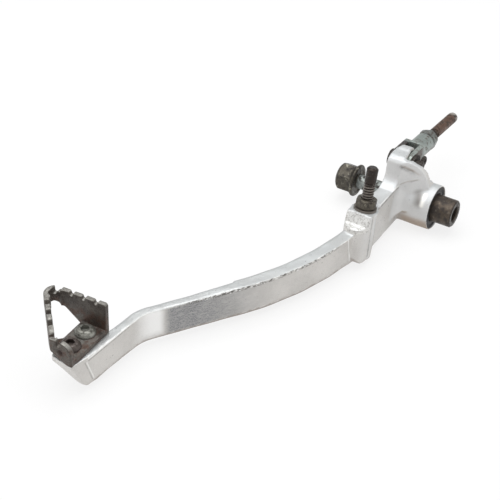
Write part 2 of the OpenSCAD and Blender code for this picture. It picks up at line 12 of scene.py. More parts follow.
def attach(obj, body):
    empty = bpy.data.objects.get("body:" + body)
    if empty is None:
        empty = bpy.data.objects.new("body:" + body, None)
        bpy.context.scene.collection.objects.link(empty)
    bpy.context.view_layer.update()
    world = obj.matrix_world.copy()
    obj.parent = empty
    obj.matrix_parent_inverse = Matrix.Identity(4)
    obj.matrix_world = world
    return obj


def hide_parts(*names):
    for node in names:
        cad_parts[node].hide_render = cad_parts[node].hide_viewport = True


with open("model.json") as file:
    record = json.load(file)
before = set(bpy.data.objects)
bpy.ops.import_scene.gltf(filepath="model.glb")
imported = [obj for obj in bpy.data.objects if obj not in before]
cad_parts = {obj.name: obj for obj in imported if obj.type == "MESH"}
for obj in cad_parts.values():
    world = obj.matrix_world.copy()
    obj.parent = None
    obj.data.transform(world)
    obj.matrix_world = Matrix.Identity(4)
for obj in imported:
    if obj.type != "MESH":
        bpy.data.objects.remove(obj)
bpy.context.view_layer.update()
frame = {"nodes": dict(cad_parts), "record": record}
bodies = frame["record"]["behaviour"]["bodies"]
body_of = {node: body for body, nodes in bodies.items() for node in nodes}
MM = 0.001

# Skins: points this close are one, and each round moves a point that share toward its neighbours
WELD_MM = 0.002
PULL = 0.6
SOFT_ROUNDS = 44
LATHE_STEPS = 128

# Screw thread: points round the pin and along it, and the groove's form in shares of the pitch
THREAD_COLUMNS = 49
THREAD_ROWS = 361
THREAD_WELD_MM = 0.0005
ROOT_END = 0.14
CREST_START = 0.32
THREAD_DEPTH = 0.42

# Stretches of the lever as (axis, millimetres where they start, millimetres where they are full)
ARM_START = ("X", 58, 66)
ARM_END = ("X", 204, 198)
HUB = ("X", 60, 46)

# Points on the lever in millimetres
GUSSET_RIM = [(11.4, -17.9, 25.6), (8.8, -12.6, 22.6), (6.8, -8.2, 20.2)]
GUSSET_RIDGE = [(13, -17.6, 14.8), (11.4, -17, 16.3), (8.8, -13, 18.2), (7.3, -10, 19.1), (6.2, -6.5, 19)]
# Painted highlight streak on the barrel runs along this line
BARREL_HIGHLIGHT = [(6.6, -4.4, 10.3), (10.6, -4.4, 6.1)]

# Barrel of the lever, in millimetres: the machined ends, and the recess round the dust seal
MACHINED_RADIUS = 10.9
MACHINED_FROM_Y = -28.4
RECESS_FLOOR_Y = -5.7
RECESS_RADII = [9.5, 10.75, 12.25]
BORED_RADII = [9.5, 11.6, 12.25]
RECESS_REACH = 12.3

# Arm's lower near edge, in millimetres: how far it is softened, below which height, and how strongly
SOFT_EDGE_FROM_X = 58
SOFT_EDGE_TO_X = 198
SOFT_EDGE_TOP_Z = -5.2
SOFT_EDGE_SHARE = 0.9

# Near end of the claw, in millimetres: the ear with its rounded end, and the punched dimple
EAR_BACK_X = 205
EAR_ROOT_Y = -87.4
EAR_FOOT_Z = 11.4
EAR_CURVE_Y = -87.2
EAR_CURVE_LENGTH = 5.6
EAR_TIP_SHARE = 0.25
DIMPLE = (214.3, -87.9, 15.0)
DIMPLE_RADIUS = 1.3
DIMPLE_DEPTH = 0.7

# Inputs and output of the node that mixes two colours
MIX_SHARE, MIX_UNDER, MIX_OVER = 0, 6, 7
MIX_RESULT = 2


def in_scene(name, data):
    """An object in the scene that shows the data."""
    made = bpy.data.objects.new(name, data)
    bpy.context.scene.collection.objects.link(made)
    return made


# Camera, matched to the photograph's perspective. Its right, up and back are the columns of its axes
SENSOR_MM = 36.0
FRAME_PX = 500
FOCAL_LENGTH_PX = 1400
CAMERA_PLACE = (0.5822, 0.2069, 0.4294)
CAMERA_AXES = Matrix(((-0.503, -0.508, 0.699), (0.864, -0.330, 0.382), (0.036, 0.796, 0.605)))
camera_data = bpy.data.cameras.new("photo_camera")
camera_data.sensor_width = SENSOR_MM
camera_data.lens = SENSOR_MM * FOCAL_LENGTH_PX / FRAME_PX
camera_data.clip_start = 0.01
camera = in_scene("photo_camera", camera_data)
camera_turn = CAMERA_AXES.to_quaternion().normalized().to_matrix().to_4x4()
camera.matrix_world = Matrix.Translation(CAMERA_PLACE) @ camera_turn
bpy.context.scene.camera = camera


def linear(code):
    """Linear colour of an sRGB hex code."""
    parts = [int(code[i:i + 2], 16) / 255 for i in (0, 2, 4)]
    return [p / 12.92 if p <= 0.04045 else ((p + 0.055) / 1.055) ** 2.4 for p in parts] + [1.0]


def feed(tree, node, inputs):
    """Gives each input its value, or links it to the output that it is given."""
    for key, value in inputs.items():
        if isinstance(value, bpy.types.NodeSocket):
            tree.links.new(value, node.inputs[key])
        else:
            node.inputs[key].default_value = value


def add(tree, kind, inputs=None, **settings):
    """A node with its settings and its inputs."""
    made = tree.nodes.new(kind)
    for key, value in settings.items():
        setattr(made, key, value)
    feed(tree, made, inputs or {})
    return made


def start(name):
    """An empty material with its shader and the place of each point on the pedal."""
    material = bpy.data.materials.new(name)
    material.use_nodes = True
    tree = material.node_tree
    tree.nodes.clear()
    shader = add(tree, "ShaderNodeBsdfPrincipled")
    add(tree, "ShaderNodeOutputMaterial", {"Surface": shader.outputs["BSDF"]})
    place = add(tree, "ShaderNodeTexCoord").outputs["Object"]
    return material, tree, shader, place


def fold(tree, operation, *values):
    """One value from several, worked out two at a time from the left."""
    total = values[0]
    for value in values[1:]:
        total = add(tree, "ShaderNodeMath", {0: total, 1: value}, operation=operation).outputs[0]
    return total


def times(tree, *values):
    """Product of several values."""
    return fold(tree, "MULTIPLY", *values)


def between(tree, value, low, high, to_low=0.0, to_high=1.0):
    """Value carried smoothly from the range low..high to the range to_low..to_high."""
    inputs = {"Value": value, "From Min": low, "From Max": high, "To Min": to_low, "To Max": to_high}
    return add(tree, "ShaderNodeMapRange", inputs, interpolation_type="SMOOTHSTEP").outputs["Result"]


def patches(tree, place, size_mm, low, high, seed=0.0, detail=4.0, stretch=(1, 1, 1)):
    """0 to 1 in patches of about that size, with soft edges where the noise goes from low to high."""
    moved = add(tree, "ShaderNodeMapping", {
        "Vector": place, "Location": (seed, seed * 0.7, seed * 1.3), "Scale": stretch})
    noise = add(tree, "ShaderNodeTexNoise", {
        "Vector": moved.outputs["Vector"], "Scale": 1 / (size_mm * MM), "Detail": detail, "Roughness": 0.6})
    return between(tree, noise.outputs["Fac"], low, high)


def where(tree, place, *limits):
    """0 to 1 inside all the limits. Each is (key, value where it starts, value where it is full), and
    its key is X, Y or Z for a coordinate in millimetres, or facing X and so on for the surface's turn."""
    shares = []
    for key, first, full in limits:
        turned = key.startswith("facing")
        source = add(tree, "ShaderNodeNewGeometry").outputs["Normal"] if turned else place
        unit = 1.0 if turned else MM
        axes = add(tree, "ShaderNodeSeparateXYZ", {"Vector": source}).outputs
        shares.append(between(tree, axes[key[-1]], first * unit, full * unit))
    return times(tree, *shares)


def line(tree, place, first, last, width_mm):
    """1 on the straight line between two points in millimetres, fading to 0 at that width."""
    first, last = Vector(first) * MM, Vector(last) * MM
    along = last - first
    offset = add(tree, "ShaderNodeVectorMath", {0: place, 1: first}, operation="SUBTRACT").outputs[0]
    reach = add(tree, "ShaderNodeVectorMath", {
        0: offset, 1: along / along.length_squared}, operation="DOT_PRODUCT").outputs["Value"]
    share = add(tree, "ShaderNodeClamp", {"Value": reach}).outputs["Result"]
    foot = add(tree, "ShaderNodeVectorMath", {0: along, 3: share}, operation="SCALE").outputs[0]
    gap = add(tree, "ShaderNodeVectorMath", {0: offset, 1: foot}, operation="DISTANCE").outputs["Value"]
    return between(tree, gap, 0.0, width_mm * MM, 1.0, 0.0)


def coats(tree, colour, *layers):
    """The colour under thin layers, each as (where it lies, how far it covers, its tone)."""
    under = linear(colour) if isinstance(colour, str) else colour
    for share, cover, tone in layers:
        mixed = add(tree, "ShaderNodeMix", {
            MIX_SHARE: times(tree, share, cover), MIX_UNDER: under, MIX_OVER: linear(tone)}, data_type="RGBA")
        under = mixed.outputs[MIX_RESULT]
    return under


def relief(tree, shader, height, depth_mm, below=None):
    """Bump of that depth on the shader, over an earlier bump if there is one."""
    inputs = {"Strength": 1.0, "Distance": depth_mm * MM, "Height": height}
    if below is not None:
        inputs["Normal"] = below
    bump = add(tree, "ShaderNodeBump", inputs).outputs["Normal"]
    feed(tree, shader, {"Normal": bump})
    return bump


def cast_tones(tree, place, speckle, clouds):
    """Grey of the tumbled skin, clouded and pitted, with a painted cool reflection where it faces up and a
    painted warm, darker reflection where it faces down.
    """
    return coats(
        tree, "d0cdc9",
        (speckle, 0.4, "bcb9b5"),
        # Painted reflections: cool on faces turned up, warm and darker on faces turned down
        (where(tree, place, ("facing Z", 0.35, 0.85)), 0.75, "c3c8ca"),
        (where(tree, place, ("facing Z", 0.0, -0.7)), 0.75, "9c8f85"),
        (clouds, 0.28, "a8a6a3"),
        (patches(tree, place, 1.3, 0.67, 0.74, 5.2, 2.0), 0.6, "6f6c68"),
    )


def painted_side_light(tree, place, colour):
    """Painted light on the lever's sides: painted shade on the sill under the arm with a painted highlight
    along its edge, a painted warm reflection under the barrel and painted light on the front of the gusset.
    """
    # Painted shade along the arm's lower near edge
    sill = where(tree, place, ("Z", -6.3, -7.6), ARM_START, ARM_END, ("facing Y", 0.0, 0.3))
    highlight_breakup = patches(tree, place, 3.0, 0.4, 0.6, 2.9)
    # Painted highlight in patches along that edge
    sill_highlight = times(tree, sill, where(tree, place, ("Z", -7.9, -7.1)), highlight_breakup)
    # Painted warm reflection under the barrel
    barrel = where(tree, place, ("Y", -17, -13), ("facing Z", 0.15, -0.45), ("Z", 3, -3))
    # Painted light on the forward faces of the hub
    gusset = where(tree, place, HUB, ("facing Z", -0.3, 0.0), ("facing X", -0.15, 0.25))
    return coats(
        tree, colour,
        (sill, 0.85, "968d84"),
        (sill_highlight, 0.8, "efeeec"),
        (barrel, 0.75, "a4917f"),
        (gusset, 0.5, "dadcde"),
    )


def painted_reflections(tree, place, colour, streak, speckle):
    """Painted reflections on the lever: a painted highlight streak in a painted darker halo on the barrel, a
    painted dark reflection in streaks on the flank of the straight run, and a painted highlight on the knee
    beside it."""
    # Painted darker halo round the painted highlight streak on the barrel
    dull = line(tree, place, (7.5, -7.8, 9.6), (10.2, -6.6, 6.8), 4.2)
    # Painted dark reflection on the flank of the straight run, broken into streaks
    run = where(tree, place, ("X", 158, 154), ("X", 104, 146), ("facing Y", 0.3, 0.7),
                ("Z", -8.6, -6), ("Z", 8.2, 7.2))
    reflection_streaks = patches(tree, place, 1.0, 0.45, 0.62, 2.7, 3.0, (0.3, 0.3, 2.0))
    run_reflection_share = between(tree, fold(tree, "MAXIMUM", reflection_streaks, speckle), 0, 1, 0.95, 0.5)
    # Painted highlight on the knee
    knee = where(tree, place, ("X", 156.2, 159.5), ("X", 175, 161), ("facing Y", 0.4, 0.8), ("Z", -10, -3))
    return coats(
        tree, colour,
        (dull, 0.75, "7b7671"),
        (streak, 1.0, "fcfbf6"),
        (run, run_reflection_share, "6f7175"),
        (knee, 0.8, "fafaf9"),
    )


def parting_edge(tree, place, colour):
    """Edge between top and flank: a painted highlight along it, with grime and bright flecks where the arm is
    rough.
    """
    # Painted highlight along the rounded edge between top and flank
    edge = where(tree, place, ("facing Z", 0.2, 0.5), ("facing Z", 0.95, 0.8), ("facing Y", 0.1, 0.4),
                 ("Z", 5.6, 6.6), ("X", 58, 64))
    rough = where(tree, place, ("Z", 6.5, 7.5), ("facing Z", 0.95, 0.7), ("facing Y", 0.1, 0.4),
                  ("X", 62, 78), ("X", 160, 140))
    grime = patches(tree, place, 1.5, 0.42, 0.56, 8, stretch=(0.6, 0.6, 1.6))
    return coats(
        tree, colour,
        (times(tree, edge, patches(tree, place, 4.0, 0.25, 0.5, 6.6)), 0.6, "f6f6f4"),
        (times(tree, rough, grime), 0.85, "55514d"),
        (times(tree, rough, patches(tree, place, 1.1, 0.55, 0.62, 3.4)), 0.8, "eeeeec"),
    )


def groove_shade_and_dark_lines(tree, place, colour):
    """Painted shade in the grooves under the gusset's rim and ridge, and dark lines beside the parting ridges
    on the boss, the arm, the toe pad and the nose.
    """
    # Each seam is (first point, last point, width, how dark), in millimetres
    seams = [
        # Painted shade in the groove under the gusset's rim
        (*GUSSET_RIM[:2], 1.5, 0.75),
        (*GUSSET_RIM[1:], 1.0, 0.3),
        # Dark lines beside the parting ridges on the boss and along the arm's top edge
        ((47.4, -15.4, 15), (49.6, -15.5, -7), 0.7, 0.7),
        ((44.2, -15, 14), (44.8, -15, -3), 0.6, 0.5),
        ((36, -17.5, 13.7), (13.2, -17.3, 13.9), 1.0, 0.75),
        # Painted shade in the groove under the gusset's ridge
        ((11.8, -16.6, 15.2), (7.6, -9.6, 18.0), 0.9, 0.55),
        # Dark lines beside the parting ridges on the toe pad and the nose
        ((203.8, -79.9, 6.4), (190, -78.5, 6.9), 0.75, 0.7),
        ((190, -78.5, 6.9), (176, -77, 7.6), 0.7, 0.6),
        ((205.9, -80.5, 6), (201.9, -79.8, -6), 0.6, 0.45),
    ]
    held = fold(tree, "MAXIMUM", *[
        times(tree, line(tree, place, first, last, width), dark) for first, last, width, dark in seams])
    patchy_darkening = between(tree, patches(tree, place, 1.6, 0.35, 0.6, 4.1), 0, 1, 0.5, 1)
    return coats(tree, colour, (held, patchy_darkening, "5f5b57"))


def cast_ends(tree, place, colour):
    """Cast skin left pitted on the nose under painted light on its forward face, bright and pitted on the
    boss ramp, and painted highlights along the rims.
    """
    # Painted light on the nose's forward face
    nose = where(tree, place, ("X", 200, 203), ("facing X", 0.3, 0.7))
    dents = times(tree, nose, patches(tree, place, 1.2, 0.56, 0.66, 9.1))
    ramp = where(tree, place, ("X", 48, 50), ("X", 63, 60), ("Z", 8.7, 9.4))
    grains = times(tree, ramp, patches(tree, place, 0.9, 0.5, 0.62, 12.5))
    # Each rim is (first point, last point, width of its painted highlight), in millimetres
    rims = [
        ((204, -80, 7.6), (176, -77.1, 8.3), 0.7),
        ((205.1, -80.4, 6), (201.1, -79.7, -6), 0.6),
        ((36, -17.9, 14.9), (13, -17.8, 15.0), 0.8),
        ((61.4, -21.6, 7.8), (59, -21.2, -6), 0.7),
    ]
    rim_highlight = fold(tree, "MAXIMUM", *[line(tree, place, *rim) for rim in rims])
    return coats(
        tree, colour,
        (nose, 0.5, "e6e5e2"),
        (dents, 0.5, "96928c"),
        (rim_highlight, 0.8, "f4f4f2"),
        (ramp, 0.5, "e4e3df"),
        (grains, 0.55, "7f7b74"),
    )


def forged_aluminium():
    """Bare aluminium, forged and tumbled. It gives the eye a pale satin grey with fine speckle and a rough
    parting edge, under painted reflections, highlights and shade."""
    material, tree, shader, place = start("forged_aluminium")
    speckle = patches(tree, place, 0.55, 0.35, 0.65, 3.1)
    clouds = patches(tree, place, 16, 0.35, 0.68, 1.7)
    streak = line(tree, place, *BARREL_HIGHLIGHT, 2.0)
    colour = cast_tones(tree, place, speckle, clouds)
    colour = painted_side_light(tree, place, colour)
    colour = painted_reflections(tree, place, colour, streak, speckle)
    colour = parting_edge(tree, place, colour)
    colour = groove_shade_and_dark_lines(tree, place, colour)
    colour = cast_ends(tree, place, colour)
    # The hub kept its shot-blasted skin, so it is duller than the arm, but for the painted highlight streak
    hub = times(tree, where(tree, place, HUB), fold(tree, "SUBTRACT", 1.0, streak))
    satin = between(tree, times(tree, clouds, speckle), 0, 1, 0.36, 0.5)
    feed(tree, shader, {
        "Base Color": colour,
        "Metallic": between(tree, hub, 0, 1, 0.6, 0.48),
        "Roughness": fold(tree, "ADD", satin, times(tree, hub, 0.13)),
    })
    grain = relief(tree, shader, speckle, 0.035)
    relief(tree, shader, patches(tree, place, 7, 0.3, 0.7, 2.2), 0.1, grain)
    return material


def claw_steel():
    """Stamped and coated steel. It gives the eye a dark worn coat with rust low on the band, and bare metal
    on the tooth tops and the base's rim."""
    material, tree, shader, place = start("claw_steel")
    fine = patches(tree, place, 0.7, 0.4, 0.6, 6.2)
    rust = times(tree, patches(tree, place, 4, 0.42, 0.62, 9.3), where(tree, place, ("Z", 22, 17)))
    stain = line(tree, place, (214.6, -88, 15), (214, -87.8, 15), 2.2)
    tops = where(tree, place, ("Z", 17, 18.5), ("facing Z", 0.35, 0.8))
    worn = times(tree, tops, between(tree, patches(tree, place, 2.0, 0.3, 0.6, 4.4), 0, 1, 0.55, 1))
    rim = where(tree, place, ("Z", 11.6, 11.1), ("facing Z", 0.5, 0.9))
    colour = coats(
        tree, "463f3a",
        (patches(tree, place, 5, 0.35, 0.65, 1.1), 1.0, "615b54"),
        (rust, 0.75, "553a2d"),
        (fine, 0.35, "332e2b"),
        (fold(tree, "MINIMUM", times(tree, stain, 1.6), 0.9), 1.0, "2e1a14"),
        (worn, 1.0, "94928d"),
        (times(tree, rim, patches(tree, place, 3.2, 0.42, 0.6, 7.7)), 0.5, "7e7d79"),
    )
    feed(tree, shader, {
        "Base Color": colour,
        "Metallic": between(tree, worn, 0, 1, 0.35, 0.9),
        "Roughness": between(tree, fine, 0, 1, 0.36, 0.55),
    })
    relief(tree, shader, fine, 0.06)
    return material


def aged_steel(name, base, dirt, bare, rough, metallic, rust, patch_mm, seed, zones=(), crests=None):
    """Small steel part. It gives the eye its plating under patches of dirt, with bare rubbed spots.

    A zone is (tone, limits as where takes them). Crests are (a point on the thread's axis, another one,
    the crest's radius, the height up to which they are rubbed, tone), in millimetres."""
    material, tree, shader, place = start(name)
    # More rust makes the patches of dirt wider, and they dull the metal under them
    grime = patches(tree, place, patch_mm, 0.62 - 0.25 * rust, 0.78 - 0.2 * rust, seed)
    rubbed = patches(tree, place, patch_mm * 0.8, 0.58, 0.7, seed + 3.3)
    fine = patches(tree, place, 0.5, 0.35, 0.65, seed + 6.1)
    tones = [(where(tree, place, *limits), 1.0, tone) for tone, *limits in zones]
    colour = coats(tree, base, *tones, (grime, 1.0, dirt), (rubbed, 0.6, bare), (fine, 0.25, dirt))
    if crests:
        first, last, radius, top, tone = crests
        # The line has faded to a half at the crests, and is above that in the grooves
        crest = between(tree, line(tree, place, first, last, 2 * radius), 0.62, 0.52)
        colour = coats(tree, colour, (times(tree, crest, where(tree, place, ("Z", top, top - 1))), 0.8, tone))
    feed(tree, shader, {
        "Base Color": colour,
        "Metallic": between(tree, grime, 0, 1, metallic, metallic * 0.3),
        "Roughness": between(tree, grime, 0, 1, rough, min(rough + 0.3, 0.9)),
    })
    relief(tree, shader, fold(tree, "ADD", fine, times(tree, grime, 0.6)), 0.05)
    return material


def seal_rubber():
    """Moulded nitrile rubber. It gives the eye a dull black with dust in its pores."""
    material, tree, shader, place = start("seal_rubber")
    dust = patches(tree, place, 1.2, 0.5, 0.75, 2.0)
    feed(tree, shader, {
        "Base Color": coats(tree, "1c1a1b", (dust, 0.4, "3d3838")),
        "Roughness": between(tree, dust, 0, 1, 0.5, 0.75),
    })
    relief(tree, shader, dust, 0.04)
    return material


def read_vectors(points, key):
    """One row of three numbers for each point of a mesh: its place or its normal."""
    flat = np.empty(len(points) * 3)
    points.foreach_get(key, flat)
    return flat.reshape(-1, 3)


def outward(source, target, weld_mm=0.0):
    """Writes the source mesh to the target, with its close points made one and its faces turned outward."""
    raw = bmesh.new()
    raw.from_mesh(source)
    if weld_mm:
        bmesh.ops.remove_doubles(raw, verts=raw.verts, dist=weld_mm * MM)
    bmesh.ops.recalc_face_normals(raw, faces=raw.faces)
    raw.to_mesh(target)
    raw.free()


def finished_mesh(blank, name):
    """The mesh that the blank's modifiers make. The blank is removed."""
    mesh = bpy.data.meshes.new_from_object(blank.evaluated_get(bpy.context.evaluated_depsgraph_get()))
    blank.modifiers.clear()
    bpy.data.objects.remove(blank)
    mesh.name = name
    return mesh


def stand_for(piece, node):
    """Shows the piece in place of that CAD node, on the node's own body."""
    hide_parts(node)
    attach(piece, body_of[node])


def rounded(mesh, rounds, keep, softer):
    """Places of the mesh's points after rounds of averaging each with its neighbours, but where keep is
    true, and after the extra rounds for soft edges, by the share that softer gives."""
    count = len(mesh.vertices)
    places = read_vectors(mesh.vertices, "co")
    edges = np.empty(len(mesh.edges) * 2, dtype=np.int64)
    mesh.edges.foreach_get("vertices", edges)
    first, second = edges.reshape(-1, 2).T
    degree = np.bincount(first, minlength=count) + np.bincount(second, minlength=count)
    shares = [np.where(keep(places), 0.0, 1.0)] * rounds
    if softer:
        shares += [softer(places)] * SOFT_ROUNDS
    for share in shares:
        near = np.stack([
            np.bincount(first, places[second, axis], count) + np.bincount(second, places[first, axis], count)
            for axis in range(3)], axis=1) / degree[:, None]
        places = places + PULL * share[:, None] * (near - places)
    return places


def nowhere(places):
    """False for every place."""
    return np.zeros(len(places), bool)


def skin(name, voxel_mm, rounds, keep=nowhere, shape=None, softer=None):
    """A closed skin with rounded edges over a CAD node, standing for it. A shape moves the skin's points
    along its normals, inside the node's own box."""
    source = frame["nodes"][name]
    merged = bpy.data.meshes.new(name + "_blank")
    outward(source.data, merged, WELD_MM)
    blank = in_scene(name + "_blank", merged)
    remesh = blank.modifiers.new("voxels", "REMESH")
    remesh.mode = "VOXEL"
    remesh.voxel_size = voxel_mm * MM
    mesh = finished_mesh(blank, name + "_skin")
    piece = in_scene(name + "_skin", mesh)
    places = rounded(mesh, rounds, keep, softer)
    mesh.vertices.foreach_set("co", places.ravel())
    mesh.update()
    if shape:
        box = np.array([corner[:] for corner in source.bound_box])
        shaped = shape(places, read_vectors(mesh.vertices, "normal"))
        mesh.vertices.foreach_set("co", np.clip(shaped, box.min(axis=0), box.max(axis=0)).ravel())
    mesh.polygons.foreach_set("use_smooth", np.ones(len(mesh.polygons), bool))
    mesh.update()
    mesh.materials.clear()
    stand_for(piece, name)
    return piece


def near_line(places, points):
    """Distance in metres from each place to a chain of points given in millimetres."""
    chain = np.array(points) * MM
    best = np.full(len(places), np.inf)
    for first, last in zip(chain[:-1], chain[1:]):
        along = last - first
        share = np.clip((places - first) @ along / (along @ along), 0, 1)
        best = np.minimum(best, np.linalg.norm(places - first - share[:, None] * along, axis=1))
    return best


def from_axis(places):
    """Distance in millimetres from each place to the pivot axis."""
    return np.hypot(places[:, 0], places[:, 2]) / MM


def machined(places):
    """True on the lever's bored and faced ends, which stay crisp."""
    return (from_axis(places) < MACHINED_RADIUS) & (places[:, 1] > MACHINED_FROM_Y * MM)


def forging_marks(places, normals):
    """Parting flash on the boss, the gusset and the toe pad, with a slightly uneven forged surface and
    the dust seal's recess bored out to a thin rim."""
    # Each mark is (points, width, height), all in millimetres, and a groove has a height below zero
    marks = [
        ([(47.2, -15.7, 16.3), (47.5, -15.7, 8), (48, -15.7, 0), (49.7, -15.8, -7)], 0.55, 0.28),
        ([(44.0, -15.2, 14.4), (44, -15.2, 6.5), (44.6, -15.2, -3)], 0.4, 0.16),
        ([(34, -17.9, 14.8), (22, -17.9, 14.5), (13, -17.6, 14.6)], 0.6, 0.25),
        (GUSSET_RIDGE, 0.7, 0.38),
        (GUSSET_RIM[:2], 1.3, -0.75),
        (GUSSET_RIM[1:], 1.0, -0.35),
        ([(204, -80.1, 6.9), (190, -78.5, 7.6), (176, -77.2, 8.1)], 0.5, 0.25),
        ([(205.2, -80.4, 6.3), (201.2, -79.8, -6.2)], 0.55, 0.28),
    ]
    # Each wave of the surface is (direction, size in millimetres)
    waves = [((1, 0.3, 0.5), 2.9), ((-0.4, 1, 0.2), 2.3), ((0.2, -0.5, 1), 3.1), ((0.7, 0.7, -0.6), 1.3)]
    wave_height = 0.03 * MM
    push = np.zeros(len(places))
    for points, width, height in marks:
        push += height * MM * np.exp(-(near_line(places, points) / (width * MM)) ** 2)
    wave = sum(np.sin(places @ np.array(direction) / (size * MM) + shift)
               for shift, (direction, size) in enumerate(waves))
    push += wave_height * wave * ~machined(places)
    moved = places + normals * push[:, None]
    radius = from_axis(moved)
    wider = np.interp(radius, RECESS_RADII, BORED_RADII) / np.maximum(radius, 1)
    inside = (moved[:, 1] > RECESS_FLOOR_Y * MM) & (radius > RECESS_RADII[0]) & (radius < RECESS_REACH)
    moved[:, (0, 2)] *= np.where(inside, wider, 1.0)[:, None]
    return moved


def lower_edge(places):
    """Share of extra rounding along the arm's lower near edge, as the forging die left it."""
    forward, height = places[:, 0] / MM, places[:, 2] / MM
    low = np.clip((SOFT_EDGE_TOP_Z - height) / 2.0, 0, 1)
    behind, ahead = (forward - SOFT_EDGE_FROM_X) / 6, (SOFT_EDGE_TO_X - forward) / 8
    return SOFT_EDGE_SHARE * low * (np.clip(behind, 0, 1) * np.clip(ahead, 0, 1))


def claw_marks(places, normals):
    """The claw's near end rounded down to an ear, with a punched dimple beside it."""
    moved = places.copy()
    foot = EAR_FOOT_Z * MM
    ear = (places[:, 0] > EAR_BACK_X * MM) & (places[:, 1] > EAR_ROOT_Y * MM) & (places[:, 2] > foot)
    reach = np.clip((places[:, 1] / MM - EAR_CURVE_Y) / EAR_CURVE_LENGTH, 0, 1)
    arch = np.interp(np.sqrt(1 - reach ** 2), [0, 1], [EAR_TIP_SHARE, 1.0])
    moved[:, 2] = np.where(ear, foot + (places[:, 2] - foot) * arch, places[:, 2])
    gap = np.linalg.norm(places - np.array(DIMPLE) * MM, axis=1) / MM
    return moved - normals * (DIMPLE_DEPTH * MM * np.exp(-(gap / DIMPLE_RADIUS) ** 4))[:, None]


def lathe(name, node, profile):
    """A closed ring turned about the pivot axis from (radius, Y) points in millimetres, for a CAD node."""
    angles = np.linspace(0, 2 * math.pi, LATHE_STEPS, endpoint=False)
    radii, heights = (np.array(profile) * MM).T
    places = np.stack([
        np.outer(np.cos(angles), radii),
        np.tile(heights, (LATHE_STEPS, 1)),
        np.outer(np.sin(angles), radii),
    ], axis=-1).reshape(-1, 3)
    count = len(profile)
    faces = []
    for step in range(LATHE_STEPS):
        here, ahead = step * count, (step + 1) % LATHE_STEPS * count
        for spot in range(count):
            following = (spot + 1) % count
            faces.append((here + spot, here + following, ahead + following, ahead + spot))
    mesh = bpy.data.meshes.new(name)
    mesh.from_pydata(places.tolist(), [], faces)
    outward(mesh, mesh)
    mesh.polygons.foreach_set("use_smooth", np.ones(len(mesh.polygons), bool))
    piece = in_scene(name, mesh)
    stand_for(piece, node)
    return piece


def screw_thread_tree():
    """Geometry nodes for a threaded pin: a grid wrapped round its axis, cut by a helix, with flat ends."""
    tree = bpy.data.node_groups.new("threaded_pin", "GeometryNodeTree")
    inputs = {
        "Radius": "Float",
        "Length": "Float",
        "Pitch": "Float",
        "Thread start": "Float",
        "Thread end": "Float",
        "Chamfer": "Float",
        "Place": "Vector",
        "Turn": "Rotation",
        "Finish": "Material",
    }
    for label, kind in inputs.items():
        tree.interface.new_socket(label, in_out="INPUT", socket_type="NodeSocket" + kind)
    tree.interface.new_socket("Geometry", in_out="OUTPUT", socket_type="NodeSocketGeometry")
    size = add(tree, "NodeGroupInput").outputs
    grid = add(tree, "GeometryNodeMeshGrid", {
        "Size X": 1.0, "Size Y": 1.0, "Vertices X": THREAD_COLUMNS, "Vertices Y": THREAD_ROWS})
    position = add(tree, "GeometryNodeInputPosition").outputs["Position"]
    spot = add(tree, "ShaderNodeSeparateXYZ", {"Vector": position}).outputs
    turns = fold(tree, "ADD", spot["X"], 0.5)
    rows = fold(tree, "ADD", spot["Y"], 0.5)
    # The first and the last row close the ends, so the length is shared out over the rows between them
    row = 1 / (THREAD_ROWS - 1)
    along = add(tree, "ShaderNodeMapRange", {"Value": rows, "From Min": row, "From Max": 1 - row})
    height = times(tree, along.outputs["Result"], size["Length"])
    # The groove follows the height in pitches less the turn, so it climbs one pitch a turn
    phase = fold(tree, "SUBTRACT", fold(tree, "DIVIDE", height, size["Pitch"]), turns)
    wave = fold(tree, "PINGPONG", phase, 0.5)
    flank = add(tree, "ShaderNodeMapRange", {"Value": wave, "From Min": ROOT_END, "From Max": CREST_START})
    groove = fold(tree, "SUBTRACT", 1.0, flank.outputs["Result"])
    threaded = times(tree, fold(tree, "GREATER_THAN", height, size["Thread start"]),
                     fold(tree, "LESS_THAN", height, size["Thread end"]))
    cut = times(tree, size["Pitch"], THREAD_DEPTH, groove, threaded)
    to_tip = fold(tree, "SUBTRACT", fold(tree, "ADD", height, size["Chamfer"]), size["Length"])
    chamfer = fold(tree, "MAXIMUM", 0.0, to_tip)
    solid = times(tree, fold(tree, "GREATER_THAN", rows, row / 2), fold(tree, "LESS_THAN", rows, 1 - row / 2))
    radius = times(tree, fold(tree, "SUBTRACT", size["Radius"], cut, chamfer), solid)
    angle = times(tree, turns, 2 * math.pi)
    cosine = add(tree, "ShaderNodeMath", {0: angle}, operation="COSINE").outputs[0]
    sine = add(tree, "ShaderNodeMath", {0: angle}, operation="SINE").outputs[0]
    round_pin = add(tree, "ShaderNodeCombineXYZ", {
        "X": times(tree, radius, cosine), "Y": times(tree, radius, sine), "Z": height})
    wrapped = add(tree, "GeometryNodeSetPosition", {
        "Geometry": grid.outputs["Mesh"], "Position": round_pin.outputs["Vector"]})
    closed = add(tree, "GeometryNodeMergeByDistance", {
        "Geometry": wrapped.outputs["Geometry"], "Distance": THREAD_WELD_MM * MM})
    placed = add(tree, "GeometryNodeTransform", {
        "Geometry": closed.outputs["Geometry"], "Translation": size["Place"], "Rotation": size["Turn"]})
    real = add(tree, "GeometryNodeRealizeInstances", {"Geometry": placed.outputs["Geometry"]})
    dressed = add(tree, "GeometryNodeSetMaterial", {
        "Geometry": real.outputs["Geometry"], "Material": size["Finish"]})
    add(tree, "NodeGroupOutput", {"Geometry": dressed.outputs["Geometry"]})
    return tree


